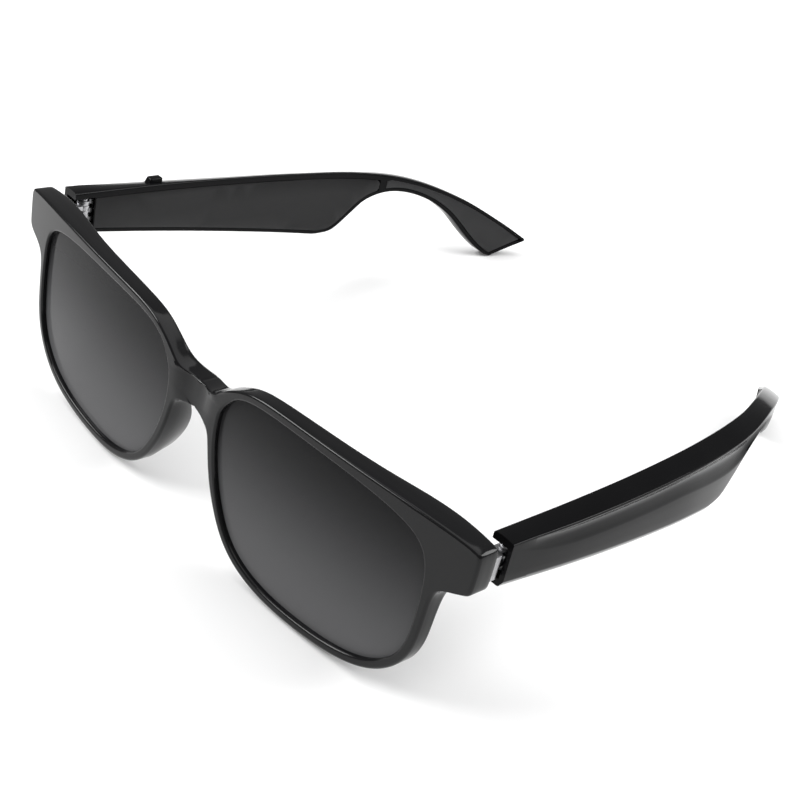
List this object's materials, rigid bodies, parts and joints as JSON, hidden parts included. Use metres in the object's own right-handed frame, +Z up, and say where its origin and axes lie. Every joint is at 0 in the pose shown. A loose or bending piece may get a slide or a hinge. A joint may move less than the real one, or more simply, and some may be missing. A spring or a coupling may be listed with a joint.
{
  "type": "smart glasses",
  "caption": "Audio sunglasses: wrapped front with tinted lenses, deep folding temples holding speaker, battery and board, and a top button.",
  "frame": {"origin": "on the surface the glasses stand on, below the middle of their overall box", "axes": "+X towards the wearer's left, +Y back from the front towards the temple tips, +Z up from the surface"},
  "size_m": [0.1478, 0.147, 0.0426],
  "materials": {
    "frame_black": "satin black moulding",
    "lens_grey": "grey gradient tint, hard coated",
    "hinge_steel": "polished stainless steel",
    "screw_steel": "plain steel",
    "cover_black": "satin black",
    "tip_grey": "soft touch dark grey",
    "button_black": "satin black",
    "board_green": "solder mask",
    "part_black": "moulded component",
    "battery_foil": "foil pouch",
    "mesh_steel": "blackened mesh",
    "contact_gold": "gold plated"
  },
  "bodies": {
    "front": {"front_frame": "frame_black", "left_hinge_front_leaf": "hinge_steel", "left_hinge_screw": "hinge_steel", "left_lens": "lens_grey", "right_hinge_front_leaf": "hinge_steel", "right_hinge_screw": "hinge_steel", "right_lens": "lens_grey"},
    "left_temple": {"left_battery": "battery_foil", "left_circuit_board": "board_green", "left_contact_pad": "part_black", "left_contact_pins": "contact_gold", "left_hinge_temple_leaf": "hinge_steel", "left_inner_cover": "cover_black", "left_leaf_screws": "screw_steel", "left_microphone": "part_black", "left_speaker": "part_black", "left_speaker_mesh": "mesh_steel", "left_temple_shell": "frame_black", "left_tip_cover": "tip_grey"},
    "right_temple": {"right_battery": "battery_foil", "right_circuit_board": "board_green", "right_contact_pad": "part_black", "right_contact_pins": "contact_gold", "right_hinge_temple_leaf": "hinge_steel", "right_inner_cover": "cover_black", "right_leaf_screws": "screw_steel", "right_microphone": "part_black", "right_speaker": "part_black", "right_speaker_mesh": "mesh_steel", "right_temple_shell": "frame_black", "right_tip_cover": "tip_grey", "button_switch": "part_black"},
    "button": {"button": "button_black"}
  },
  "joints": [
    {"name": "left_temple_fold", "type": "hinge", "parent": "front", "child": "left_temple", "pos_m": [0.0702, -0.05354, 0.03454], "axis": [0, 0.1114, 0.9938], "range_deg": [-2, 78]},
    {"name": "right_temple_fold", "type": "hinge", "parent": "front", "child": "right_temple", "pos_m": [-0.0702, -0.05354, 0.03454], "axis": [0, -0.1114, -0.9938], "range_deg": [0, 70]},
    {"name": "button_press", "type": "slide", "parent": "right_temple", "child": "button", "axis": [0, -0.1114, -0.9938], "range_m": [0, 0.0005], "stiffness_N_per_m": 300}
  ]
}
